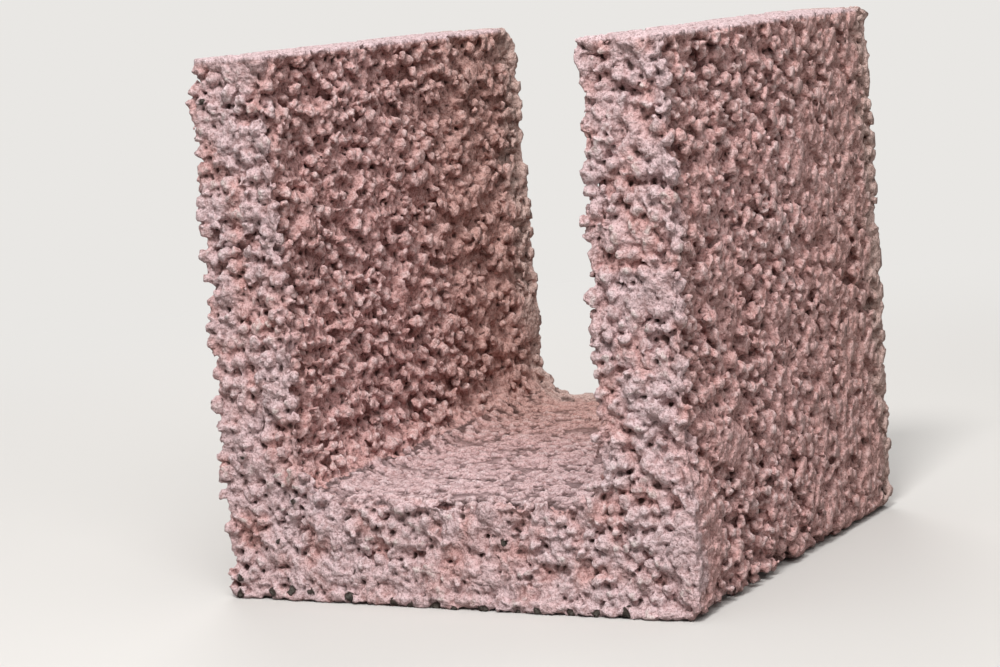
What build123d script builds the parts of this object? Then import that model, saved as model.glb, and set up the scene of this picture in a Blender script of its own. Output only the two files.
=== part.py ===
# U-shaped block of open-pored lightweight concrete, one cast piece.
# It was cast standing on its smooth end, so the mould's core drew out through the rough end
# and the channel narrows towards the smooth end.
# X is the width across the channel, Y runs along it, Z is up.
# The rough end faces -Y, the smooth end +Y, and the bed face lies on z = 0.
# Millimetres.

import os
from build123d import *

# Overall size
WIDTH = 240.0
LENGTH = 240.0
HEIGHT = 248.0

# Channel at the rough end: walls measured across X at their tops, bed measured up from the bed face
WALL = 43.5
BED = 48.5
ROOT_RADIUS = 20.0

# Draft: what each wall gains from its top down to the bed face
WALL_DRAFT = 4.7

# Taper of the core: what the walls and the bed gain from the rough end to the smooth end
WALL_TAPER = 3.2
BED_TAPER = 6.9

# Edges
BED_EDGE_RADIUS = 8.0
ARRIS_RADIUS = 2.0

# Knocked corners: how far each break reaches along X, Y and Z
ROUGH_CORNER_CHIP = (12.0, 13.0, 16.0)
INNER_CORNER_CHIP = (9.0, 13.0, 7.0)
OUTER_CORNER_CHIP = (10.0, 12.0, 4.0)

# How far cutting shapes run past the faces that they cut
OVERSHOOT = 20.0


def core_section(y):
    """Outline of the mould's core where it crosses the plane at this y."""
    along = (y + LENGTH / 2) / LENGTH
    wall = WALL + WALL_TAPER * along
    bed = BED + BED_TAPER * along
    half_top = WIDTH / 2 - wall
    draft_per_mm = WALL_DRAFT / HEIGHT
    top = HEIGHT + OVERSHOOT
    half_over = half_top + draft_per_mm * OVERSHOOT
    half_root = half_top - draft_per_mm * (HEIGHT - bed)
    outline = Polyline(
        (-half_over, top),
        (-half_root, bed),
        (half_root, bed),
        (half_over, top),
        close=True,
    )
    plane = Plane(origin=(0, y, 0), x_dir=(1, 0, 0), z_dir=(0, -1, 0))
    profile = make_face(outline)
    roots = profile.vertices().sort_by(Axis.Y)[:2]
    return plane * fillet(roots, radius=ROOT_RADIUS)


def block_body():
    """The block before its channel: a prism along Y with worn long edges under it."""
    profile = Rectangle(WIDTH, HEIGHT, align=(Align.CENTER, Align.MIN))
    bed_corners = profile.vertices().sort_by(Axis.Y)[:2]
    profile = fillet(bed_corners, radius=BED_EDGE_RADIUS)
    rough_end = Plane(origin=(0, -LENGTH / 2, 0), x_dir=(1, 0, 0), z_dir=(0, -1, 0))
    return extrude(rough_end * profile, amount=-LENGTH)


def channel_core():
    """The tapered core, run past both ends and past the wall tops."""
    near = core_section(-LENGTH / 2 - OVERSHOOT)
    far = core_section(LENGTH / 2 + OVERSHOOT)
    return loft([near, far], ruled=True)


def soften_edges(block):
    """Round the outline of the rough end and the long edges of the wall tops."""
    rough_end = block.faces().sort_by(Axis.Y)[0]
    long_edges = block.edges().filter_by(lambda edge: edge.bounding_box().size.Y > LENGTH / 2)
    top_edges = long_edges.group_by(Axis.Z)[-1]
    return fillet(rough_end.edges() + top_edges, radius=ARRIS_RADIUS)


def knock_corner(block, corner, inward, reach):
    """Break off one corner along the plane through its three reaches."""
    points = [
        corner + Vector(inward[0] * reach[0], 0, 0),
        corner + Vector(0, inward[1] * reach[1], 0),
        corner + Vector(0, 0, inward[2] * reach[2]),
    ]
    normal = (points[1] - points[0]).cross(points[2] - points[0])
    if normal.dot(corner - points[0]) < 0:
        normal = normal * -1
    middle = (points[0] + points[1] + points[2]) / 3
    span = 2 * max(reach)
    waste = Plane(origin=middle, z_dir=normal) * Box(
        span, span, span, align=(Align.CENTER, Align.CENTER, Align.MIN)
    )
    return block - waste


def inner_top_corner(side, y):
    """Where the top of the wall on this side meets the channel at this y."""
    along = (y + LENGTH / 2) / LENGTH
    return Vector(side * (WIDTH / 2 - WALL - WALL_TAPER * along), y, HEIGHT)


def u_block():
    """The whole block with its channel, softened edges and knocked corners."""
    block = soften_edges(block_body() - channel_core())
    rough_corner = Vector(-WIDTH / 2, -LENGTH / 2, HEIGHT)
    block = knock_corner(block, rough_corner, (1, 1, -1), ROUGH_CORNER_CHIP)
    inner_corner = inner_top_corner(-1, LENGTH / 2)
    block = knock_corner(block, inner_corner, (-1, -1, -1), INNER_CORNER_CHIP)
    outer_corner = Vector(WIDTH / 2, LENGTH / 2, HEIGHT)
    return knock_corner(block, outer_corner, (-1, -1, -1), OUTER_CORNER_CHIP)


os.makedirs("parts", exist_ok=True)
block = u_block()
export_step(block, "parts/u_block.step")
print(f"u_block: {block.volume / 1e6:.3f} litres")
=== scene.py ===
"""The looks of a U-shaped block of open-pored lightweight concrete, grown on its CAD frame.

The real block is one casting: expanded-clay grains, each coated with pink cement paste, that
touch and leave open pores between them.
The script throws the grains against the block's faces, fuses them with the paste behind them,
presses them flat where the steel mould was, and thins and slices the result into light pieces.
"""

import logging
import math
from dataclasses import dataclass, field
from enum import Enum

import bmesh
import bpy
import numpy as np
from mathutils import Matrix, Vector


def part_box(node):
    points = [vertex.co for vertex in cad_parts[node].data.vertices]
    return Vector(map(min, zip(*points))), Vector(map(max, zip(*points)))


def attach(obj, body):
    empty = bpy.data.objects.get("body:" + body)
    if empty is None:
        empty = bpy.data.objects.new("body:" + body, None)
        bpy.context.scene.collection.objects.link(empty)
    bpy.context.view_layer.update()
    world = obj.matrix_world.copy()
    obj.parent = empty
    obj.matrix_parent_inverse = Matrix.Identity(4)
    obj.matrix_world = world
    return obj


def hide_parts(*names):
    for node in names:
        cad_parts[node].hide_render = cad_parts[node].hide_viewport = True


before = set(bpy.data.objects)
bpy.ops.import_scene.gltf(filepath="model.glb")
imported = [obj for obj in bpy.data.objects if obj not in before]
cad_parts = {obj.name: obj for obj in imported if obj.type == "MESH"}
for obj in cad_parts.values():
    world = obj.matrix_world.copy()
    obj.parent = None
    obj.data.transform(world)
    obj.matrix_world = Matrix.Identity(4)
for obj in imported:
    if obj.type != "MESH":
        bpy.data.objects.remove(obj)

log = logging.getLogger("u_block")

MM = 0.001
# Lengths under this count as nothing
TINY = 1e-6
# A Mix node's two colours and its result go by number, because other sockets share their names
MIX_FIRST, MIX_SECOND, MIX_RESULT = 6, 7, 2
NODE = "u_block"

# The block's box, in millimetres, from the frame
LOWEST, HIGHEST = ([corner / MM for corner in place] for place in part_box(NODE))
ROUGH_Y, SMOOTH_Y = LOWEST[1], HIGHEST[1]
RIGHT_X, LEFT_X = HIGHEST[0], LOWEST[0]
TOP_Z = HIGHEST[2]


@dataclass(frozen=True)
class Ramp:
    """A rise from 0 at low to 1 at high, with level ends."""

    low: float
    high: float

    def at(self, value: np.ndarray) -> np.ndarray:
        """Look numbers up on the rise.

        Args:
            value: the numbers to look up.

        Returns:
            The risen values, from 0 to 1.
        """
        share = np.clip((value - self.low) / (self.high - self.low), 0.0, 1.0)
        return share * share * (3.0 - 2.0 * share)


@dataclass(frozen=True)
class Lattice:
    """Smooth random values in space, from random numbers on a cubic lattice.

    The wavelength is in millimetres, and the values lie within the height on both sides of 0.
    """

    seed: int
    wavelength: float
    height: float = 1.0
    size: int = 64

    def at(self, points: np.ndarray) -> np.ndarray:
        """Give the value at each point.

        Args:
            points: places in millimetres, one row each.

        Returns:
            One value for each place.
        """
        table = np.random.default_rng(self.seed).uniform(-1, 1, self.size ** 3).astype(np.float32)
        scaled = (points / self.wavelength).astype(np.float32)
        cell = np.floor(scaled)
        share = scaled - cell
        share = share * share * (3.0 - 2.0 * share)
        low = cell.astype(np.int32) % self.size
        high = (low + 1) % self.size
        steps = np.array([self.size ** 2, self.size, 1], np.int32)
        low, high = low * steps, high * steps

        def row(x: np.ndarray, y: np.ndarray) -> np.ndarray:
            """Slide along Z between two lattice points."""
            near = table[x + y + low[:, 2]]
            return near + (table[x + y + high[:, 2]] - near) * share[:, 2]

        def sheet(x: np.ndarray) -> np.ndarray:
            """Slide along Y between two rows."""
            near = row(x, low[:, 1])
            return near + (row(x, high[:, 1]) - near) * share[:, 1]

        near = sheet(low[:, 0])
        return (near + (sheet(high[:, 0]) - near) * share[:, 0]) * self.height


def layered(lattices: tuple[Lattice, ...], points: np.ndarray,
            start: float | np.ndarray = 0.0) -> np.ndarray:
    """Add several lattices up.

    Args:
        lattices: the lattices to add.
        points: places in millimetres, one row each.
        start: what they are added to.

    Returns:
        The sum for each place.
    """
    return sum((lattice.at(points) for lattice in lattices), start)


def fetch(items: bpy.types.bpy_prop_collection, name: str, width: int = 1,
          kind: type = np.float32) -> np.ndarray:
    """Read one property of all the items of a mesh.

    Args:
        items: the items, such as a mesh's edges.
        name: the property's name.
        width: how many numbers each item holds.
        kind: the numbers' type.

    Returns:
        One number for each item, or one row where it holds several.
    """
    flat = np.zeros(len(items) * width, kind)
    items.foreach_get(name, flat)
    return flat.reshape(-1, width) if width > 1 else flat


def read(mesh: bpy.types.Mesh, name: str, width: int = 3) -> np.ndarray:
    """Read a value that every vertex holds.

    Args:
        mesh: the mesh to read.
        name: the attribute's name, such as position.
        width: 3 for a vector and 1 for a number.

    Returns:
        One row or number for each vertex.
    """
    return fetch(mesh.attributes[name].data, "vector" if width == 3 else "value", width)


def write(mesh: bpy.types.Mesh, name: str, values: np.ndarray) -> None:
    """Give every vertex a number under this name.

    Args:
        mesh: the mesh to write to.
        name: the attribute's name.
        values: one number for each vertex.
    """
    layer = mesh.attributes.get(name) or mesh.attributes.new(name, "FLOAT", "POINT")
    layer.data.foreach_set("value", values.astype(np.float32))


def place(mesh: bpy.types.Mesh, points: np.ndarray) -> None:
    """Move every vertex to its place.

    Args:
        mesh: the mesh to move.
        points: the places in millimetres, one row for each vertex.
    """
    mesh.vertices.foreach_set("co", (points * MM).astype(np.float32).ravel())
    mesh.update()


def vertex_normals(mesh: bpy.types.Mesh) -> np.ndarray:
    """Read the way that each vertex faces, as one unit row each."""
    return fetch(mesh.vertex_normals, "vector", 3)


def triangles(mesh: bpy.types.Mesh) -> int:
    """Count the triangles that a mesh's faces make."""
    return len(mesh.loops) - 2 * len(mesh.polygons)


def spread(mesh: bpy.types.Mesh, values: np.ndarray, passes: int) -> np.ndarray:
    """Average a value over each vertex's neighbours, several times.

    Args:
        mesh: the mesh whose edges join the neighbours.
        values: one row for each vertex.
        passes: how many times to average.

    Returns:
        The averaged rows.
    """
    near, far = fetch(mesh.edges, "vertices", 2, np.int32).T
    ends, others = np.concatenate([near, far]), np.concatenate([far, near])
    degree = np.maximum(np.bincount(ends, minlength=len(values)), 1).astype(np.float32)
    result = values.astype(np.float32)
    for _ in range(passes):
        total = np.stack([np.bincount(ends, weights=column[others], minlength=len(values))
                          for column in result.T], axis=1)
        result = (0.5 * result + 0.5 * total / degree[:, None]).astype(np.float32)
    return result


def add_node(tree: bpy.types.NodeTree, kind: str, settings: dict | None = None,
             links: dict | None = None) -> bpy.types.Node:
    """Add a node with its settings and links.

    Args:
        tree: the node tree that it goes into.
        kind: Blender's name for the node.
        settings: values of its properties, or of its inputs where it has no such property. An
            input goes by its number where it shares its name with others.
        links: for each input, the output that feeds it, or a list of them.

    Returns:
        The node.
    """
    node = tree.nodes.new(kind)
    for name, value in (settings or {}).items():
        if isinstance(name, str) and hasattr(node, name):
            setattr(node, name, value)
        else:
            node.inputs[name].default_value = value
    for name, outputs in (links or {}).items():
        for output in outputs if isinstance(outputs, list) else [outputs]:
            tree.links.new(output, node.inputs[name])
    return node


def linear(code: str) -> tuple[float, float, float, float]:
    """Turn an sRGB hex colour into the linear values that a shader takes.

    Args:
        code: the colour as #rrggbb.

    Returns:
        Red, green, blue and an alpha of 1.
    """
    parts = [int(code[k:k + 2], 16) / 255 for k in (1, 3, 5)]
    return (*(p / 12.92 if p <= 0.04045 else ((p + 0.055) / 1.055) ** 2.4 for p in parts), 1.0)


def link(name: str, mesh: bpy.types.Mesh) -> bpy.types.Object:
    """Put a mesh into the scene.

    Args:
        name: the new object's name.
        mesh: its mesh.

    Returns:
        The new object.
    """
    piece = bpy.data.objects.new(name, mesh)
    bpy.context.scene.collection.objects.link(piece)
    return piece


def settle(name: str, model: bmesh.types.BMesh) -> bpy.types.Object:
    """Turn a bmesh into an object of the scene.

    Args:
        name: the new object's name.
        model: its bmesh, which is freed.

    Returns:
        The new object.
    """
    mesh = bpy.data.meshes.new(name)
    model.to_mesh(mesh)
    model.free()
    return link(name, mesh)


def bake(piece: bpy.types.Object) -> bpy.types.Mesh:
    """Turn a piece's modifiers into plain mesh.

    Args:
        piece: the piece to bake.

    Returns:
        Its new mesh. The old one is gone.
    """
    graph = bpy.context.evaluated_depsgraph_get()
    mesh = bpy.data.meshes.new_from_object(piece.evaluated_get(graph))
    piece.modifiers.clear()
    old, piece.data = piece.data, mesh
    bpy.data.meshes.remove(old)
    return mesh


@dataclass
class Recipe:
    """A geometry tree that changes one piece."""

    name: str

    def __post_init__(self) -> None:
        """Start the tree with its way in and its way out."""
        self.tree = bpy.data.node_groups.new(self.name, "GeometryNodeTree")
        for way in ("INPUT", "OUTPUT"):
            self.tree.interface.new_socket("Geometry", in_out=way, socket_type="NodeSocketGeometry")
        self.given = self.tree.nodes.new("NodeGroupInput").outputs[0]
        self.result = self.tree.nodes.new("NodeGroupOutput").inputs[0]

    def add(self, kind: str, settings: dict | None = None,
            links: dict | None = None) -> bpy.types.NodeOutputs:
        """Add a node, as add_node does.

        Args:
            kind: Blender's name for the node.
            settings: values of its properties or inputs.
            links: the outputs that feed its inputs.

        Returns:
            The node's outputs.
        """
        return add_node(self.tree, kind, settings, links).outputs

    def run(self, piece: bpy.types.Object, output: bpy.types.NodeSocket) -> bpy.types.Mesh:
        """Send this output out of the tree and bake it into the piece.

        Args:
            piece: the piece that the tree works on.
            output: the geometry that comes out.

        Returns:
            The piece's new mesh.
        """
        self.tree.links.new(output, self.result)
        piece.modifiers.new(self.name, "NODES").node_group = self.tree
        return bake(piece)


class Face(Enum):
    """The kinds of face that the cast block has."""

    ROUGH_END = "struck off at the top of the mould"
    SMOOTH_END = "stood on the casting board"
    MOULD = "formed by the steel mould"
    CHANNEL_BED = "smeared by the core as it drew out"
    WALL_TOP = "pressed against the mould's rail"


@dataclass(frozen=True)
class Relief:
    """How one kind of face shows its grains, in millimetres.

    A grain's tip lies between the two cuts above the block's plane, higher by the tamping
    towards the smooth end, and what stands above the plane is pressed flat. Paste fills the space
    behind them up to this far below the plane, and up to the patch value where it smeared. The
    last value says how much of the outer layer is left open as pores.
    """

    cut: tuple[float, float]
    tamped: float
    fill: float
    patch: float
    gaps: float


RELIEFS: dict[Face, Relief] = {
    Face.ROUGH_END: Relief(cut=(-2.8, 0.4), tamped=0.0, fill=6.4, patch=2.0, gaps=2.4),
    Face.SMOOTH_END: Relief(cut=(0.3, 1.8), tamped=0.0, fill=1.3, patch=0.2, gaps=0.1),
    Face.MOULD: Relief(cut=(-2.6, 1.0), tamped=2.0, fill=6.8, patch=0.5, gaps=2.6),
    Face.CHANNEL_BED: Relief(cut=(-0.4, 1.4), tamped=0.8, fill=1.5, patch=0.3, gaps=0.5),
    Face.WALL_TOP: Relief(cut=(0.2, 1.8), tamped=0.0, fill=1.1, patch=0.2, gaps=0.0),
}


@dataclass(frozen=True)
class PasteZone:
    """A stretch of the surface where the paste stands at another level, in millimetres."""

    centre: tuple[float, float, float]
    reach: tuple[float, float, float]
    level: float
    ragged: tuple[Lattice, ...] = (Lattice(61, 9.0, 0.22), Lattice(62, 4.0, 0.12))
    border: Ramp = Ramp(0.85, 1.1)

    def share(self, points: np.ndarray) -> np.ndarray:
        """Say how far each point is inside the zone.

        Args:
            points: places in millimetres, one row each.

        Returns:
            Shares from 0 outside to 1 inside.
        """
        away = np.linalg.norm((points - self.centre) / self.reach, axis=1)
        return 1.0 - self.border.at(layered(self.ragged, points, away))


PASTE_ZONES: tuple[PasteZone, ...] = (
    PasteZone(centre=(0, ROUGH_Y, 26), reach=(118, 22, 30), level=5.4),
    PasteZone(centre=(-15, ROUGH_Y, 7), reach=(96, 22, 14), level=2.6),
    PasteZone(centre=(0, ROUGH_Y, 0), reach=(126, 22, 6), level=0.9),
    PasteZone(centre=(98, ROUGH_Y, 150), reach=(26, 16, 110), level=5.6),
    PasteZone(centre=(RIGHT_X, ROUGH_Y + 8, 30), reach=(14, 22, 30), level=1.0),
    PasteZone(centre=(RIGHT_X, ROUGH_Y + 46, 68), reach=(8, 17, 9), level=0.3),
    PasteZone(centre=(-73, SMOOTH_Y - 12, 96), reach=(9, 13, 12), level=0.3),
)

# Broken grains on the rough end: how far from the block's left side and above its bed face
BROKEN_GRAINS: tuple[tuple[float, float], ...] = (
    (8, 3), (9, 10), (26, 4), (36, 5), (47, 4), (65, 3), (90, 1), (99, 0), (111, 1), (121, 0),
    (134, 1), (152, 0), (163, 1), (178, 0), (190, 2), (204, 3), (15, 66), (41, 46), (31, 27),
    (147, 31), (181, 68), (9, 229),
)


@dataclass
class Ground:
    """The block's surface as even points, each with the kinds of face that it belongs to.

    Sizes, heights and places are in millimetres. The grains are tamped tighter towards the
    smooth end, more on the outer sides than in the channel. Swells and smears vary the level of
    the paste, and on the tamped outer sides it closes to plates with pits between them. At the
    block's edges only the edge share of that depth is left.
    """

    spacing: float = 1.4
    blend_passes: int = 14
    flat: Ramp = Ramp(0.74, 0.985)
    outer_side: Ramp = Ramp(0.8, 0.95)
    tamped_outside: Ramp = Ramp(-95, 85)
    tamped_inside: Ramp = Ramp(-50, 118)
    inside_share: float = 0.7
    end_on: Ramp = Ramp(0.45, 0.85)
    face_up: Ramp = Ramp(0.5, 0.95)
    upper_part: Ramp = Ramp(90, 130)
    tamped_fill: float = 0.3
    swells: tuple[Lattice, ...] = (Lattice(44, 7.0, 0.35), Lattice(41, 15.0, 0.6))
    zone_swells: tuple[Lattice, ...] = (Lattice(45, 6.0, 0.6), Lattice(40, 13.0, 0.5))
    smears: tuple[Lattice, ...] = (Lattice(42, 13.0), Lattice(43, 6.0, 0.5))
    tamped_smears: float = 0.2
    smeared: Ramp = Ramp(0.75, 0.95)
    plates: tuple[Lattice, ...] = (Lattice(55, 6.5), Lattice(56, 3.2, 0.5))
    plate_rim: Ramp = Ramp(-0.05, 0.2)
    plated: Ramp = Ramp(0.3, 0.85)
    plate_share: float = 0.9
    edge_share: float = 0.36

    def build(self) -> None:
        """Copy the CAD block and rebuild the copy on an even grid."""
        model = bmesh.new()
        model.from_mesh(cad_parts[NODE].data)
        bmesh.ops.remove_doubles(model, verts=model.verts, dist=TINY)
        self.block = settle("block", model)
        self.paste = link("paste", self.block.data.copy())
        grid = self.paste.modifiers.new("grid", "REMESH")
        grid.mode = "VOXEL"
        grid.voxel_size = self.spacing * MM
        mesh = bake(self.paste)
        self.points = read(mesh, "position") / MM
        blended = spread(mesh, vertex_normals(mesh), self.blend_passes)
        length = np.linalg.norm(blended, axis=1)
        self.normals = blended / length[:, None]
        self.flatness = self.flat.at(length)
        along = self.points[:, 1]
        self.outside = self.outer_side.at(np.abs(self.points[:, 0]) / RIGHT_X)
        inside = self.inside_share * self.tamped_inside.at(along)
        self.compact = inside + (self.tamped_outside.at(along) - inside) * self.outside
        self.name_faces()

    def name_faces(self) -> None:
        """Weigh the kinds of face by the way that the surface looks."""
        rough = self.end_on.at(-self.normals[:, 1])
        smooth = self.end_on.at(self.normals[:, 1])
        up = self.face_up.at(self.normals[:, 2]) * (1 - rough - smooth)
        top = up * self.upper_part.at(self.points[:, 2])
        self.weights = {Face.ROUGH_END: rough, Face.SMOOTH_END: smooth, Face.WALL_TOP: top,
                        Face.CHANNEL_BED: up - top, Face.MOULD: 1 - rough - smooth - up}

    def blend(self, value: str, end: int | None = None) -> np.ndarray:
        """Mix one of the relief's values over the faces.

        Args:
            value: the name of the relief's field.
            end: 0 or 1 where the field holds two numbers.

        Returns:
            One number for each point.
        """
        total = np.zeros(len(self.points), np.float32)
        for face, weight in self.weights.items():
            number = getattr(RELIEFS[face], value)
            total += weight * (number if end is None else number[end])
        return total

    def sink_paste(self) -> None:
        """Move the paste in from the block's faces, down to the level that it fills."""
        points = self.points
        level = self.blend("fill") * (1.0 - self.tamped_fill * self.compact)
        level *= layered(self.swells, points, 1.0)
        closed = self.smeared.at(layered(self.smears, points) + self.tamped_smears * self.compact)
        plates = self.plate_rim.at(layered(self.plates, points)) * self.plated.at(self.compact)
        plates = self.plate_share * (plates * self.weights[Face.MOULD]) * self.outside
        closed = np.maximum(closed, plates)
        level = level * (1 - closed) + self.blend("patch") * closed
        swells = layered(self.zone_swells, points, 1.0)
        for zone in PASTE_ZONES:
            share = zone.share(points)
            level = level * (1 - share) + zone.level * swells * share
        level *= self.edge_share + (1 - self.edge_share) * self.flatness
        place(self.paste.data, points - self.normals * level[:, None])


@dataclass
class Aggregate:
    """Coated grains of expanded clay, thrown against the mould until no more fit.

    Sizes are radii and depths in millimetres. Grains of each size lie in an outer layer and one
    behind it, scattered by the jitter, and at the rough end none stands out past its plane: they
    are struck off up to that depth behind it, and less so at its edges. Along the block's edges
    grains stand prouder, and where the surface is less flat than the loose edge says, those
    smaller than the edge size have broken away. Gaps lie in by a share of their radius, and the
    tamping closes its share of them.
    """

    seed: int = 7
    sizes: tuple[float, ...] = (4.7, 4.1, 3.6, 3.2, 2.8, 2.4, 2.0, 1.5)
    tries: tuple[int, ...] = (450, 1300, 3500, 8000, 15000, 14000, 8000, 3500)
    size_spread: tuple[float, float] = (0.92, 1.08)
    broken_size: tuple[float, float] = (2.1, 3.2)
    layers: tuple[float, ...] = (0.0, 4.6)
    layer_scatter: float = 1.2
    jitter: float = 0.7
    nearness: float = 0.9
    struck: float = 2.6
    struck_edge_share: float = 0.3
    proud_edge: float = 0.9
    gaps: int = 4600
    gap_size: tuple[float, float] = (1.5, 3.7)
    gap_inset: float = 0.7
    gap_tamping: float = 0.5
    edge_size: float = 2.5
    loose_edge: float = 0.6
    cell: float = 9.4
    broken: int = 0
    _cells: dict = field(default_factory=dict)
    _found: list = field(default_factory=list)

    def _fits(self, x: float, y: float, z: float, radius: float, solid: bool = True) -> bool:
        """Say whether a grain clears all that are there, and keep it if so.

        Args:
            x: its place across the channel, in millimetres.
            y: its place along the channel.
            z: its height.
            radius: its radius.
            solid: whether it is a grain, and not a gap that stays empty.

        Returns:
            Whether it fits.
        """
        cx, cy, cz = int(x // self.cell), int(y // self.cell), int(z // self.cell)
        cells = self._cells
        near = self.nearness
        for i in (cx - 1, cx, cx + 1):
            for j in (cy - 1, cy, cy + 1):
                for k in (cz - 1, cz, cz + 1):
                    for ox, oy, oz, other in cells.get((i, j, k), ()):
                        reach = near * (radius + other)
                        if (x - ox) ** 2 + (y - oy) ** 2 + (z - oz) ** 2 < reach * reach:
                            return False
        cells.setdefault((cx, cy, cz), []).append((x, y, z, radius))
        if solid:
            self._found.append((x, y, z, radius))
        return True

    def pack(self, ground: Ground) -> bpy.types.Object:
        """Fill the outer layer and the one behind it.

        Args:
            ground: the block's surface.

        Returns:
            A piece with one vertex at each grain's middle, and its radius.
        """
        rng = np.random.default_rng(self.seed)
        for along, up in BROKEN_GRAINS:
            radius = rng.uniform(*self.broken_size)
            self._fits(LEFT_X + along, ROUGH_Y + radius, up, radius)
        self.broken = len(self._found)
        self._leave_gaps(ground, rng)
        tamped = ground.blend("tamped") * ground.compact
        arris = 1 - ground.flatness
        low = ground.blend("cut", 0) * (1 - arris) + tamped
        high = ground.blend("cut", 1) + tamped + self.proud_edge * arris
        for layer in self.layers:
            for size, tries in zip(self.sizes, self.tries):
                picks = rng.integers(0, len(ground.points), tries)
                radii = size * rng.uniform(*self.size_spread, tries)
                cut = low[picks] + (high - low)[picks] * rng.uniform(0, 1, tries)
                inset = radii - cut + layer + rng.uniform(0, self.layer_scatter, tries) * (layer > 0)
                places = ground.points[picks] - ground.normals[picks] * inset[:, None]
                places += rng.uniform(-self.jitter, self.jitter, places.shape)
                flat = ground.flatness[picks]
                struck = rng.uniform(0.0, self.struck, tries)
                struck *= self.struck_edge_share + (1 - self.struck_edge_share) * flat
                places[:, 1] = np.maximum(places[:, 1], ROUGH_Y + radii + struck)
                held = (flat > self.loose_edge) | (radii > self.edge_size)
                for (x, y, z), radius in zip(places[held].tolist(), radii[held].tolist()):
                    self._fits(x, y, z, radius)
        found = np.array(self._found, np.float32)
        mesh = bpy.data.meshes.new("grains")
        mesh.vertices.add(len(found))
        place(mesh, found[:, :3])
        write(mesh, "radius", found[:, 3] * MM)
        write(mesh, "shade", rng.uniform(0, 1, len(found)))
        log.info("packed %d grains, %d of them broken", len(found), self.broken)
        return link("grains", mesh)

    def _leave_gaps(self, ground: Ground, rng: np.random.Generator) -> None:
        """Keep some places in the outer layer empty, as open pores.

        Args:
            ground: the block's surface.
            rng: the source of random numbers.
        """
        odds = ground.blend("gaps") * ground.flatness * (1 - self.gap_tamping * ground.compact)
        picks = rng.integers(0, len(ground.points), self.gaps)
        picks = picks[rng.uniform(0, 1, self.gaps) < odds[picks]]
        radii = rng.uniform(*self.gap_size, len(picks))
        places = ground.points[picks] - ground.normals[picks] * (radii * self.gap_inset)[:, None]
        for (x, y, z), radius in zip(places.tolist(), radii.tolist()):
            self._fits(x, y, z, radius, solid=False)


@dataclass(frozen=True)
class Hollow:
    """Hollows torn in the channel's bed, long across it and bent, with their depth in millimetres."""

    pattern: Lattice
    bend: Lattice
    depth: float
    stretch: tuple[float, float, float] = (0.5, 1.0, 0.4)
    rim: Ramp = Ramp(0.28, 0.4)

    def share(self, points: np.ndarray) -> np.ndarray:
        """Say how far each point is inside a hollow.

        Args:
            points: places in millimetres, one row each.

        Returns:
            Shares from 0 outside to 1 inside.
        """
        bent = points * self.stretch + self.bend.at(points)[:, None]
        return self.rim.at(self.pattern.at(bent))


@dataclass(frozen=True)
class DarkCores:
    """The dark cores of the broken grains, in millimetres.

    Each is squashed by a share of its own, the ones higher up are smaller, and all are ragged at
    their rims and pitted.
    """

    ragged: tuple[Lattice, ...] = (Lattice(71, 2.6, 0.9), Lattice(76, 1.2, 0.7))
    rim: Ramp = Ramp(1.4, 2.7)
    reach: float = 2.8
    squash: float = 0.22
    squash_step: float = 3.0
    higher: Ramp = Ramp(14, 26)
    smaller: float = 0.35
    pits: Lattice = Lattice(77, 1.5)
    pit_rim: Ramp = Ramp(-0.1, 0.3)
    pit_share: float = 0.42

    def share(self, points: np.ndarray, middles: np.ndarray) -> np.ndarray:
        """Say which points lie on a core.

        Args:
            points: places in millimetres, one row each.
            middles: the middles of the broken grains, one row each.

        Returns:
            Shares from 0 outside to 1 inside a core.
        """
        core = np.zeros(len(points), np.float32)
        ragged = layered(self.ragged, points)
        for number, middle in enumerate(middles):
            squash = 1.0 + self.squash * math.sin(self.squash_step * number)
            small = 1.0 + self.smaller * self.higher.at(middle[2])
            across = (points - middle)[:, [0, 2]] * (squash * small, small / squash)
            inside = 1 - self.rim.at(np.linalg.norm(across, axis=1) + ragged)
            core = np.maximum(core, inside * (np.abs(points[:, 1] - middle[1]) < self.reach))
        return core * (1 - self.pit_share * self.pit_rim.at(self.pits.at(points)))


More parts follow.
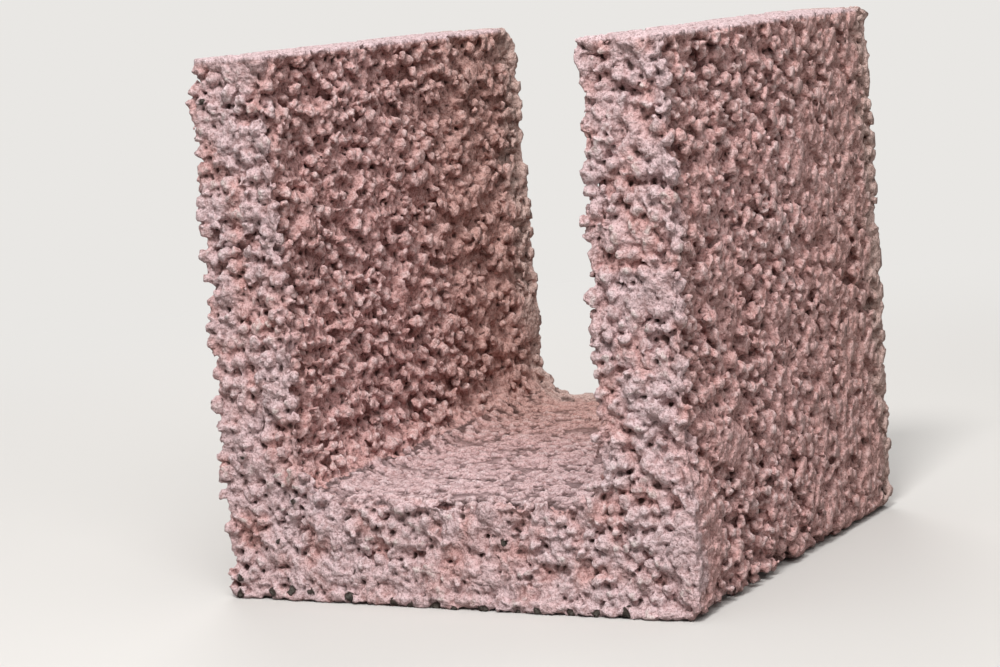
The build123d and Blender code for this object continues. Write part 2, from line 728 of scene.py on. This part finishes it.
@dataclass(frozen=True)
class Markings:
    """Where the finish's colours lie on the block, in millimetres.

    Pores lie deeper than what is around them and get painted shade, as do the hollows in the bed, and
    tips stand out from what is around them and get a painted highlight, partly also paler paste. Pale
    bloom lies on the rough end and the wall tops and along the near part of the bed, and dust on the
    tips of the rough end. Painted shade, darker and browner, grows towards the smooth end, stronger in
    the channel than outside it, and the creamy skin lies on that end.
    """

    rough: Ramp = Ramp(ROUGH_Y + 9, ROUGH_Y + 4)
    lower: Ramp = Ramp(TOP_Z / 3, TOP_Z / 4)
    bed_depth: float = 4.0
    bed_up: float = 0.7
    top: Ramp = Ramp(TOP_Z - 3, TOP_Z - 1.2)
    # Painted highlight where a point stands out from what is around it, partly also paler paste on the
    # tips
    lit_tip: Ramp = Ramp(0.3, -1.0)
    bloom: Ramp = Ramp(ROUGH_Y + 14, ROUGH_Y + 1)
    bloom_rim: Lattice = Lattice(74, 9.0, 8.0)
    bloom_level: float = 0.75
    bloom_patches: Lattice = Lattice(73, 16.0, 0.25)
    bed_bloom: Ramp = Ramp(SMOOTH_Y, ROUGH_Y + 30)
    bed_bloom_level: float = 0.65
    channel_reach: float = RIGHT_X * 0.78
    channel_foot: float = TOP_Z * 0.16
    # Painted shade, darker and browner towards the smooth end, ragged at its rim, at a share outside the
    # channel
    far_end_shading: Ramp = Ramp(ROUGH_Y + 50, SMOOTH_Y)
    far_end_shading_rim: Lattice = Lattice(75, 30.0, 16.0)
    far_end_shading_outside: float = 0.5
    # Painted shade in the pores: where a point lies deeper than what is around it and deep enough
    pore_shade_rise: Ramp = Ramp(0.15, 1.1)
    pore_shade_lead: float = 0.15
    pore_shade_depth: Ramp = Ramp(0.9, 2.5)
    pore_shade_lag: float = 0.3
    # Painted shade in the bed's hollows, at the hollow shade level
    hollow: Ramp = Ramp(0.4, 1.2)
    hollow_around: float = 0.5
    hollow_shade_level: float = 0.65
    dust: Ramp = Ramp(0.0, 0.7)
    dust_patches: Lattice = Lattice(72, 6.0)
    paste: Ramp = Ramp(0.2, 1.2)
    skin: Ramp = Ramp(SMOOTH_Y - 26, SMOOTH_Y - 4)
    skin_rim: Lattice = Lattice(70, 9.0, 7.0)

    def masks(self, points: np.ndarray, nearest: np.ndarray, up: np.ndarray, depth: np.ndarray,
              around: np.ndarray, reach: np.ndarray) -> dict[str, np.ndarray]:
        """Work out the masks that the finish reads.

        Args:
            points: places in millimetres, one row each.
            nearest: the nearest points of the CAD block.
            up: how far the block's faces there look up.
            depth: how deep each point lies under them.
            around: the mean depth around it.
            reach: how far it lies outside its nearest grain.

        Returns:
            For each mask's name, one share for each point.
        """
        along, high = points[:, 1], points[:, 2]
        rough = self.rough.at(along)
        bed = (1 - rough) * self.lower.at(high) * (depth < self.bed_depth) * (up > self.bed_up)
        top = self.top.at(high)
        # Painted highlight where a point stands out from what is around it
        lit_tip = self.lit_tip.at(depth - around)
        bloom = self.bloom.at(along + self.bloom_rim.at(points))
        bloom = np.maximum(bloom * (self.bloom_level + self.bloom_patches.at(points)), top)
        channel = (np.abs(nearest[:, 0]) < self.channel_reach) & (high > self.channel_foot)
        # Painted shade that grows towards the smooth end
        far_end_shading = self.far_end_shading.at(along + self.far_end_shading_rim.at(points))
        # Painted shade in the pores
        shaded_pore = self.pore_shade_rise.at(depth - around + self.pore_shade_lead * (1 - rough))
        shaded_pore *= self.pore_shade_depth.at(depth - self.pore_shade_lag * rough)
        # Painted shade in the bed's hollows
        hollow = bed * self.hollow.at(depth - self.hollow_around * around)
        return {
            "bloom": np.maximum(bloom, self.bed_bloom_level * bed * self.bed_bloom.at(along)),
            "far_shade": np.where(channel, 1.0, self.far_end_shading_outside) * (1 - top) * far_end_shading,
            "shaded_pore": np.maximum(shaded_pore, self.hollow_shade_level * hollow),
            "lit_tip": lit_tip,
            "dust": rough * lit_tip * self.dust.at(self.dust_patches.at(points)),
            "paste": self.paste.at(reach),
            "skin": self.skin.at(along + self.skin_rim.at(points)),
        }


@dataclass
class Casting:
    """The block as cast: grains and paste fused, worn, pressed against the mould and cut up.

    Lengths are in millimetres, and the budget is in triangles. The film of paste bridges gaps
    narrower than twice its thickness, and the press rounds what the mould held back. A broken
    grain lost what stood out past the break, which is measured from its middle. The knife is
    wider than the block and ends past it.
    """

    ground: Ground
    grains: bpy.types.Object
    broken: int
    voxel: float = 0.74
    film: float = 0.5
    out_of_round: tuple[tuple[Lattice, ...], ...] = tuple(
        (Lattice(20 + axis, 4.6, 0.95), Lattice(30 + axis, 2.3, 0.8)) for axis in range(3))
    ridges: Lattice = Lattice(50, 3.0)
    ridge_crest: float = 0.3
    ridge_height: float = 1.2
    crumbs: Lattice = Lattice(51, 1.6, 0.7)
    tamped: Ramp = Ramp(ROUGH_Y + 40, SMOOTH_Y)
    tamped_crumbs: float = 0.35
    touching: float = 0.02
    press: float = 0.25
    bed_up: Ramp = Ramp(0.6, 0.95)
    bed_below: float = TOP_Z / 2
    hollows: tuple[Hollow, ...] = (Hollow(Lattice(46, 5.2), Lattice(48, 9.0, 2.5), 1.8),
                                   Hollow(Lattice(47, 3.4), Lattice(49, 9.0, 2.5), 1.4))
    break_reach: float = 4.2
    break_out: float = 1.3
    break_relief: Lattice = Lattice(52, 1.5, 0.3)
    budget: int = 885000
    slices: int = 6
    knife_squares: int = 40
    knife_width: float = 400.0
    knife_middle: float = 120.0
    knife_past: float = 10.0
    cut_straight: float = 0.999
    pore_reach: float = 2.6
    cores: DarkCores = DarkCores()
    markings: Markings = Markings()

    def build(self) -> list[bpy.types.Object]:
        """Fuse, wear, press and break the grains, and cut the casting up.
        """
        self.fuse()
        self.crumble()
        self.press_flat()
        self.break_grains()
        self.thin()
        return self.cut_up()

    def fuse(self) -> None:
        """Join the grains and the paste into one closed mesh, without loose crumbs."""
        self.piece = link("casting", self.grains.data.copy())
        recipe = Recipe("fuse")
        radius = recipe.add("GeometryNodeInputNamedAttribute", {"data_type": "FLOAT", "Name": "radius"})
        points = recipe.add("GeometryNodeMeshToPoints", {},
                            {"Mesh": recipe.given, "Radius": radius["Attribute"]})
        balls = recipe.add("GeometryNodePointsToSDFGrid", {"Voxel Size": self.voxel * MM},
                           {"Points": points[0], "Radius": radius["Attribute"]})
        paste = recipe.add("GeometryNodeObjectInfo", {"Object": self.ground.paste})
        filling = recipe.add("GeometryNodeMeshToSDFGrid", {"Voxel Size": self.voxel * MM},
                             {"Mesh": paste["Geometry"]})
        both = recipe.add("GeometryNodeSDFGridBoolean", {"operation": "UNION"},
                          {1: [balls[0], filling[0]]})
        coated = recipe.add("GeometryNodeGridToMesh", {"Threshold": self.film * MM}, {"Grid": both[0]})
        bridged = recipe.add("GeometryNodeMeshToSDFGrid", {"Voxel Size": self.voxel * MM},
                             {"Mesh": coated[0]})
        skin = recipe.add("GeometryNodeGridToMesh", {"Threshold": -self.film * MM}, {"Grid": bridged[0]})
        island = recipe.add("GeometryNodeInputMeshIsland")
        marked = recipe.add("GeometryNodeStoreNamedAttribute", {"data_type": "FLOAT", "Name": "island"},
                            {"Geometry": skin[0], "Value": island[0]})
        mesh = recipe.run(self.piece, marked[0])
        whole = int(np.bincount(read(mesh, "island", 1).astype(np.int64)).argmax())
        sweep = Recipe("sweep")
        island = sweep.add("GeometryNodeInputNamedAttribute", {"data_type": "FLOAT", "Name": "island"})
        loose = sweep.add("FunctionNodeCompare",
                          {"operation": "NOT_EQUAL", "B": float(whole), "Epsilon": 0.5},
                          {"A": island["Attribute"]})
        kept = sweep.add("GeometryNodeDeleteGeometry", {},
                         {"Geometry": sweep.given, "Selection": loose[0]})
        mesh = sweep.run(self.piece, kept[0])
        mesh.attributes.remove(mesh.attributes["island"])
        log.info("fused: %d points", len(mesh.vertices))

    def warp(self, points: np.ndarray) -> np.ndarray:
        """Push the grains out of round.

        Args:
            points: places in millimetres.

        Returns:
            The pushed places.
        """
        return points + np.stack([layered(lattices, points) for lattices in self.out_of_round], axis=1)

    def crumble(self) -> None:
        """Put the grains out of round and roughen them with crumbs of paste."""
        mesh = self.piece.data
        points = self.warp(read(mesh, "position") / MM)
        place(mesh, points)
        ridges = self.ridge_crest - np.abs(self.ridges.at(points))
        crumbs = self.ridge_height * ridges + self.crumbs.at(points)
        crumbs *= 1.0 - self.tamped_crumbs * self.tamped.at(points[:, 1])
        place(mesh, points + vertex_normals(mesh) * crumbs[:, None])

    def survey(self, piece: bpy.types.Object) -> None:
        """Note for every vertex the nearest point of the CAD block and the way that it faces.

        Args:
            piece: the piece to survey.
        """
        recipe = Recipe("survey")
        block = recipe.add("GeometryNodeObjectInfo", {"Object": self.ground.block})["Geometry"]
        near = recipe.add("GeometryNodeProximity", {"target_element": "FACES"}, {0: block})
        normal = recipe.add("GeometryNodeInputNormal")
        facing = recipe.add("GeometryNodeSampleNearestSurface", {"data_type": "FLOAT_VECTOR"},
                            {"Mesh": block, "Value": normal[0]})
        noted = recipe.given
        for name, value in (("nearest", near["Position"]), ("facing", facing[0])):
            noted = recipe.add("GeometryNodeStoreNamedAttribute",
                               {"data_type": "FLOAT_VECTOR", "Name": name},
                               {"Geometry": noted, "Value": value})[0]
        recipe.run(piece, noted)

    def heights(self, piece: bpy.types.Object) -> tuple[np.ndarray, np.ndarray, np.ndarray]:
        """Measure how far each vertex stands above the block's faces.

        Args:
            piece: a surveyed piece.

        Returns:
            The nearest points of the block, the way up from them, and the heights.
        """
        mesh = piece.data
        points, nearest, facing = (read(mesh, name) for name in ("position", "nearest", "facing"))
        away = (points - nearest) / MM
        height = np.linalg.norm(away, axis=1)
        side = np.where((away * facing).sum(axis=1) < 0, -1.0, 1.0)
        straight = away * (side / np.maximum(height, TINY))[:, None]
        up = np.where(height[:, None] > self.touching, straight, facing)
        return nearest / MM, up, height * side

    def press_flat(self) -> None:
        """Press what stands above the block's faces flat, with hollows torn in the channel's bed."""
        self.survey(self.piece)
        nearest, up, height = self.heights(self.piece)
        bed = self.bed_up.at(up[:, 2]) * (nearest[:, 2] < self.bed_below)
        dip = np.zeros(len(height), np.float32)
        for hollow in self.hollows:
            dip += hollow.depth * bed * hollow.share(nearest)
        above = height + dip
        pressed = 0.5 * (above - np.sqrt(above * above + self.press ** 2)) - dip
        place(self.piece.data, np.clip(nearest + up * pressed[:, None], LOWEST, HIGHEST))
        for name in ("nearest", "facing"):
            self.piece.data.attributes.remove(self.piece.data.attributes[name])

    def break_grains(self) -> None:
        """Break the outer cap off the broken grains."""
        mesh = self.piece.data
        points = read(mesh, "position") / MM
        for middle in self.middles()[:self.broken]:
            close = np.flatnonzero(np.linalg.norm(points - middle, axis=1) < self.break_reach)
            face = middle[1] - self.break_out + self.break_relief.at(points[close])
            points[close, 1] = np.maximum(points[close, 1], face)
        place(mesh, points)

    def middles(self) -> np.ndarray:
        """Give the grains' middles in millimetres, pushed out of round as their surface is."""
        return self.warp(read(self.grains.data, "position") / MM)

    def thin(self) -> None:
        """Bring the mesh down to its budget of triangles."""
        given = triangles(self.piece.data)
        less = self.piece.modifiers.new("thin", "DECIMATE")
        less.ratio = min(1.0, self.budget / given)
        mesh = bake(self.piece)
        place(mesh, np.clip(read(mesh, "position") / MM, LOWEST, HIGHEST))
        log.info("thinned %d to %d", given, triangles(mesh))

    def cut_up(self) -> list[bpy.types.Object]:
        """Cut the casting across the channel into slices with equal shares of the mesh.

        Returns:
            The slices, from the rough end on.
        """
        along = read(self.piece.data, "position")[:, 1]
        cuts = np.quantile(along, np.linspace(0, 1, self.slices + 1))
        cuts[0] -= self.knife_past * MM
        cuts[-1] += self.knife_past * MM
        pieces = []
        for number, (near, far) in enumerate(zip(cuts[:-1], cuts[1:]), start=1):
            knife = self.knife(near, far)
            piece = link(f"casting_slice_{number}", self.piece.data.copy())
            cut = piece.modifiers.new("cut", "BOOLEAN")
            cut.operation = "INTERSECT"
            cut.solver = "MANIFOLD"
            cut.object = knife
            mesh = bake(piece)
            bpy.data.objects.remove(knife)
            self.crease(mesh, (near, far))
            log.info("%s: %d triangles", piece.name, triangles(mesh))
            pieces.append(piece)
        bpy.data.meshes.remove(self.piece.data)
        return pieces

    def knife(self, near: float, far: float) -> bpy.types.Object:
        """Make the box that cuts a slice out of the casting.

        Its faces are small squares, so that the cut faces are small too and stay simple.

        Args:
            near: where the slice starts along Y, in metres.
            far: where it ends.

        Returns:
            The knife.
        """
        width = self.knife_width * MM
        model = bmesh.new()
        bmesh.ops.create_cube(model, size=1.0)
        bmesh.ops.subdivide_edges(model, edges=model.edges, cuts=self.knife_squares - 1,
                                  use_grid_fill=True)
        bmesh.ops.scale(model, vec=(width, far - near, width), verts=model.verts)
        bmesh.ops.translate(model, vec=(0, (near + far) / 2, self.knife_middle * MM), verts=model.verts)
        return settle("knife", model)

    def crease(self, mesh: bpy.types.Mesh, cuts: tuple[float, float]) -> None:
        """Keep the shading of a slice's outside clear of its cut faces.

        Args:
            mesh: the slice's mesh.
            cuts: where it was cut along Y, in metres.
        """
        along = fetch(mesh.polygons, "center", 3)[:, 1]
        way = np.abs(fetch(mesh.polygons, "normal", 3)[:, 1])
        away = np.minimum(np.abs(along - cuts[0]), np.abs(along - cuts[1]))
        flat = (way > self.cut_straight) & (away < TINY)
        inside = np.repeat(flat, fetch(mesh.polygons, "loop_total", 1, np.int32))
        edges = fetch(mesh.loops, "edge_index", 1, np.int32)
        touched = np.bincount(edges[inside], minlength=len(mesh.edges)) == 1
        mesh.shade_smooth()
        sharp = mesh.attributes.get("sharp_edge") or mesh.attributes.new("sharp_edge", "BOOLEAN", "EDGE")
        sharp.data.foreach_set("value", touched)

    def dress(self, piece: bpy.types.Object, finish: bpy.types.Material) -> None:
        """Store what the finish reads: painted shade in pores and towards the smooth end, painted
        highlight on tips, bloom, dust, each grain's random shade, paste, skin and cores.

        Args:
            piece: the slice to dress.
            finish: its material.
        """
        self.survey(piece)
        nearest, _, height = self.heights(piece)
        depth = -height
        up = read(piece.data, "facing")[:, 2]
        mesh = self.find_grains(piece)
        points = read(mesh, "position") / MM
        reach = np.linalg.norm(read(mesh, "middle") / MM - points, axis=1) - read(mesh, "radius", 1) / MM
        around = spread(mesh, depth[:, None], self.pore_passes(mesh))[:, 0]
        masks = self.markings.masks(points, nearest, up, depth, around, reach)
        masks["core"] = self.cores.share(points, self.middles()[:self.broken])
        for name, values in masks.items():
            write(mesh, name, values)
        for name in ("nearest", "facing", "middle", "radius"):
            mesh.attributes.remove(mesh.attributes[name])
        mesh.materials.clear()
        mesh.materials.append(finish)

    def pore_passes(self, mesh: bpy.types.Mesh) -> int:
        """Work out how many averagings reach as far as a pore is wide.

        Args:
            mesh: the mesh whose edges set the step.

        Returns:
            The number of passes.
        """
        points = read(mesh, "position") / MM
        near, far = fetch(mesh.edges, "vertices", 2, np.int32).T
        step = float(np.linalg.norm(points[near] - points[far], axis=1).mean())
        return round((self.pore_reach / step) ** 2)

    def find_grains(self, piece: bpy.types.Object) -> bpy.types.Mesh:
        """Store with every vertex the middle, radius and shade of its nearest grain.

        Args:
            piece: the slice to mark.

        Returns:
            The slice's new mesh.
        """
        guide = link("guide", self.grains.data.copy())
        place(guide.data, self.middles())
        recipe = Recipe("grain")
        grains = recipe.add("GeometryNodeObjectInfo", {"Object": guide})["Geometry"]
        index = recipe.add("GeometryNodeSampleNearest", {}, {"Geometry": grains})[0]
        noted = recipe.given
        where = recipe.add("GeometryNodeInputPosition")[0]
        values = {"middle": ("FLOAT_VECTOR", where)}
        for name in ("shade", "radius"):
            values[name] = ("FLOAT", recipe.add("GeometryNodeInputNamedAttribute",
                                                {"data_type": "FLOAT", "Name": name})["Attribute"])
        for name, (kind, value) in values.items():
            sample = recipe.add("GeometryNodeSampleIndex", {"data_type": kind},
                                {"Geometry": grains, "Value": value, "Index": index})
            noted = recipe.add("GeometryNodeStoreNamedAttribute", {"data_type": kind, "Name": name},
                               {"Geometry": noted, "Value": sample[0]})[0]
        mesh = recipe.run(piece, noted)
        bpy.data.objects.remove(guide)
        return mesh


@dataclass(frozen=True)
class Coat:
    """One colour laid over those before it, where a mask rises from low to high."""

    mask: str
    colour: str
    low: float = 0.0
    high: float = 1.0
    share: float = 1.0
    blend: str = "MIX"


@dataclass(frozen=True)
class NoFinesConcrete:
    """No-fines lightweight concrete: pink cement paste, rough as it set, over fired clay grains.

    The eye gets matt, sandy grains with a painted highlight on their tips, partly also paler paste, and
    greyer where dust lies, and warmer pink in the paste between them. Painted shade lies nearly black in
    the pores, dark in tiny specks and in the creases between crumbs, and darker and browner towards the
    smooth end. Broken grains show their dark porous core, and the end that stood on the board has a
    creamy skin of cement.
    Sizes are in millimetres.
    """

    base: str = "#cea39f"
    coats: tuple[Coat, ...] = (
        # Painted highlight on the tips, partly also paler paste
        Coat("lit_tip", "#e2c9c7"),
        Coat("shade", "#c79993", 0.5, 1.0, 0.4),
        Coat("blotch", "#c79993", 0.45, 0.62, 0.3),
        Coat("paste", "#cea4a0", 0.2, 1.0, 0.5),
        # Painted shade: darker and browner towards the smooth end, more in the channel
        Coat("far_shade", "#bb9586", 0.0, 1.0, 0.5),
        Coat("bloom", "#d6c4c8", 0.0, 1.0, 0.65),
        Coat("dust", "#cdc4bc", 0.1, 0.8, 0.5),
        Coat("skin", "#c7aea5", 0.1, 0.9, 0.8),
        # Painted shade, nearly black, in the pores and the bed's hollows
        Coat("shaded_pore", "#2f1b16", 0.0, 0.9, 0.95),
        Coat("core", "#3b322d", 0.1, 0.45),
        Coat("core", "#59544e", 0.5, 0.9),
        # Painted shade in the creases of the crumbs that the bump raises
        Coat("crease", "#b8a39d", 0.5, 0.85, 0.55, "MULTIPLY"),
        Coat("sand", "#a3938d", 0.54, 0.34, 0.65, "MULTIPLY"),
        # Painted shade of tiny pores, as dark specks
        Coat("pit_shade", "#4a2f2a", 0.68, 0.73, 0.85),
    )
    crumb: float = 2.3
    crumb_height: float = 0.75
    swirl: float = 1.6
    swirl_reach: float = 2.2
    sand: float = 0.8
    sand_height: float = 0.27
    # Size of the pattern for the painted shade specks of tiny pores
    pit_shade: float = 1.1
    blotch: float = 34.0
    detail: float = 2.0
    coarseness: float = 0.6
    roughness: float = 0.95
    specular: float = 0.25

    def build(self) -> bpy.types.Material:
        """Make the material.

        Returns:
            The finish for every slice.
        """
        finish = bpy.data.materials.new("no_fines_concrete")
        finish.use_nodes = True
        tree = finish.node_tree
        shader = tree.nodes["Principled BSDF"]
        masks = {name: add_node(tree, "ShaderNodeAttribute", {"attribute_name": name}).outputs["Fac"]
                 for name in ("lit_tip", "shade", "paste", "far_shade", "bloom", "dust", "skin", "shaded_pore", "core")}
        where = add_node(tree, "ShaderNodeTexCoord").outputs["Object"]
        for name, size in (("sand", self.sand), ("pit_shade", self.pit_shade), ("blotch", self.blotch)):
            settings = {"Scale": 1 / (size * MM), "Detail": self.detail, "Roughness": self.coarseness}
            masks[name] = add_node(tree, "ShaderNodeTexNoise", settings, {"Vector": where}).outputs[0]
        swirl = add_node(tree, "ShaderNodeTexNoise",
                         {"Scale": 1 / (self.swirl * MM), "Detail": self.detail}, {"Vector": where})
        bent = add_node(tree, "ShaderNodeVectorMath",
                        {"operation": "MULTIPLY_ADD", 1: (self.swirl_reach * MM,) * 3},
                        {0: swirl.outputs["Color"], 2: where}).outputs[0]
        # Crumb pattern: the bump raises crumbs from it, and its creases get painted shade
        masks["crease"] = add_node(tree, "ShaderNodeTexVoronoi", {"Scale": 1 / (self.crumb * MM)},
                                   {"Vector": bent}).outputs[0]
        colour = None
        for coat in self.coats:
            settings = {"interpolation_type": "SMOOTHSTEP", "From Min": coat.low,
                        "From Max": coat.high, "To Max": coat.share}
            share = add_node(tree, "ShaderNodeMapRange", settings, {"Value": masks[coat.mask]})
            settings = {"data_type": "RGBA", "blend_type": coat.blend, MIX_SECOND: linear(coat.colour)}
            links = {"Factor": share.outputs[0]}
            if colour is None:
                settings[MIX_FIRST] = linear(self.base)
            else:
                links[MIX_FIRST] = colour
            colour = add_node(tree, "ShaderNodeMix", settings, links).outputs[MIX_RESULT]
        tree.links.new(colour, shader.inputs["Base Color"])
        shader.inputs["Roughness"].default_value = self.roughness
        shader.inputs["Specular IOR Level"].default_value = self.specular
        crumbs = add_node(tree, "ShaderNodeBump",
                          {"Strength": 1.0, "Distance": self.crumb_height * MM, "invert": True},
                          {"Height": masks["crease"]})
        sandy = add_node(tree, "ShaderNodeBump", {"Strength": 1.0, "Distance": self.sand_height * MM},
                         {"Height": masks["sand"], "Normal": crumbs.outputs[0]})
        tree.links.new(sandy.outputs[0], shader.inputs["Normal"])
        return finish


@dataclass(frozen=True)
class Lamp:
    """A round soft lamp that points at the object, in metres and watts."""

    name: str
    place: tuple[float, float, float]
    power: float
    size: float
    aim: tuple[float, float, float] = (0.0, 0.0, 0.1)

    def build(self) -> None:
        """Hang the lamp."""
        light = bpy.data.lights.new(self.name, "AREA")
        light.shape = "DISK"
        light.size = self.size
        light.energy = self.power
        lamp = bpy.data.objects.new(self.name, light)
        lamp.location = self.place
        way = Vector(self.aim) - Vector(self.place)
        lamp.rotation_euler = way.to_track_quat("-Z", "Y").to_euler()
        bpy.context.scene.collection.objects.link(lamp)


def seen(tree: bpy.types.NodeTree) -> bpy.types.NodeSocket:
    """Say whether a ray shows the background to the eye, straight or in a reflection.

    Args:
        tree: the material's or the sky's node tree.

    Returns:
        An output that is 1 for such a ray.
    """
    ray = add_node(tree, "ShaderNodeLightPath").outputs
    total = ray["Is Camera Ray"]
    for name in ("Is Glossy Ray", "Is Transmission Ray"):
        larger = add_node(tree, "ShaderNodeMath", {"operation": "MAXIMUM"}, {0: total, 1: ray[name]})
        total = larger.outputs[0]
    return total


@dataclass(frozen=True)
class BackdropPaper:
    """Matt backdrop paper under the block, that fades out between two distances in metres.

    The eye gets a pale floor without an end. It throws back less light than it shows, so that
    the grains' undersides stay dark.
    """

    colour: str = "#c9c6c2"
    thrown_back: str = "#8f8c88"
    roughness: float = 0.9
    fade: tuple[float, float] = (0.35, 1.1)

    def build(self, backdrop: str) -> bpy.types.Material:
        """Make the material.

        Args:
            backdrop: the colour that it fades into, as #rrggbb.

        Returns:
            The floor's finish.
        """
        finish = bpy.data.materials.new("matt_backdrop_paper")
        finish.use_nodes = True
        tree = finish.node_tree
        shader = tree.nodes["Principled BSDF"]
        shown = seen(tree)
        colour = add_node(tree, "ShaderNodeMix", {"data_type": "RGBA", MIX_FIRST: linear(self.thrown_back),
                                                  MIX_SECOND: linear(self.colour)}, {"Factor": shown})
        tree.links.new(colour.outputs[MIX_RESULT], shader.inputs["Base Color"])
        shader.inputs["Roughness"].default_value = self.roughness
        where = add_node(tree, "ShaderNodeTexCoord").outputs["Object"]
        away = add_node(tree, "ShaderNodeVectorMath", {"operation": "LENGTH"}, {0: where})
        near, far = self.fade
        gone = add_node(tree, "ShaderNodeMapRange",
                        {"interpolation_type": "SMOOTHSTEP", "From Min": near, "From Max": far},
                        {"Value": away.outputs["Value"]})
        share = add_node(tree, "ShaderNodeMath", {"operation": "MULTIPLY"},
                         {0: gone.outputs[0], 1: shown})
        glow = add_node(tree, "ShaderNodeEmission", {"Color": linear(backdrop), "Strength": 1.0})
        both = add_node(tree, "ShaderNodeMixShader", {},
                        {0: share.outputs[0], 1: shader.outputs[0], 2: glow.outputs[0]})
        tree.links.new(both.outputs[0], tree.nodes["Material Output"].inputs["Surface"])
        return finish


@dataclass(frozen=True)
class Studio:
    """A pale floor without an end, a soft key light, one overhead, two fills and a weak sky."""

    backdrop: str = "#e9e7e4"
    paper: BackdropPaper = BackdropPaper()
    floor_size: float = 30.0
    lamps: tuple[Lamp, ...] = (Lamp("key", (0.5, -1.75, 2.25), 58.0, 0.6),
                               Lamp("overhead", (0.1, -0.3, 2.4), 20.0, 2.2),
                               Lamp("fill", (0.9, -1.15, 1.3), 13.0, 0.9),
                               Lamp("back", (-1.0, 1.5, 1.0), 17.0, 1.2))
    sky_colour: str = "#fbfcff"
    sky_strength: float = 0.2

    def build(self) -> None:
        """Make the floor, the lamps and the sky."""
        model = bmesh.new()
        bmesh.ops.create_grid(model, x_segments=1, y_segments=1, size=self.floor_size)
        floor = settle("floor", model)
        floor.data.materials.append(self.paper.build(self.backdrop))
        for lamp in self.lamps:
            lamp.build()
        self.build_sky()
        bpy.context.scene.view_settings.view_transform = "Standard"

    def build_sky(self) -> None:
        """Make a weak even sky that shows as the backdrop."""
        world = bpy.data.worlds.new("sky")
        world.use_nodes = True
        tree = world.node_tree
        sky = tree.nodes["Background"]
        sky.inputs["Color"].default_value = linear(self.sky_colour)
        sky.inputs["Strength"].default_value = self.sky_strength
        shown = add_node(tree, "ShaderNodeBackground", {"Color": linear(self.backdrop), "Strength": 1.0})
        both = add_node(tree, "ShaderNodeMixShader", {},
                        {0: seen(tree), 1: sky.outputs[0], 2: shown.outputs[0]})
        tree.links.new(both.outputs[0], tree.nodes["World Output"].inputs["Surface"])
        bpy.context.scene.world = world


@dataclass(frozen=True)
class PhotoCamera:
    """The camera where the photograph was taken from, in millimetres and degrees."""

    place: tuple[float, float, float] = (580.9, -1128.2, 278.8)
    tilt: float = 82.277
    roll: float = 4.152
    heading: float = 27.902
    lens: float = 97.16
    sensor: float = 36.0

    def build(self) -> None:
        """Add the camera and look through it."""
        data = bpy.data.cameras.new("camera")
        data.sensor_width = self.sensor
        data.lens = self.lens
        camera = bpy.data.objects.new("camera", data)
        camera.location = [value * MM for value in self.place]
        camera.rotation_euler = [math.radians(angle) for angle in (self.tilt, self.roll, self.heading)]
        bpy.context.scene.collection.objects.link(camera)
        bpy.context.scene.camera = camera


def main() -> None:
    """Build the casting, dress it, and set up the studio and the camera."""
    logging.basicConfig(level=logging.INFO, format="%(relativeCreated)d %(message)s")
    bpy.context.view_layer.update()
    ground = Ground()
    ground.build()
    log.info("ground: %d points", len(ground.points))
    aggregate = Aggregate()
    grains = aggregate.pack(ground)
    ground.sink_paste()
    casting = Casting(ground, grains, aggregate.broken)
    pieces = casting.build()
    finish = NoFinesConcrete().build()
    for piece in pieces:
        casting.dress(piece, finish)
        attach(piece, "root")
        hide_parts(NODE)
        log.info("dressed %s: %d points", piece.name, len(piece.data.vertices))
    for helper in (ground.block, ground.paste, grains):
        bpy.data.meshes.remove(helper.data)
    Studio().build()
    PhotoCamera().build()


if __name__ == "__main__":
    main()
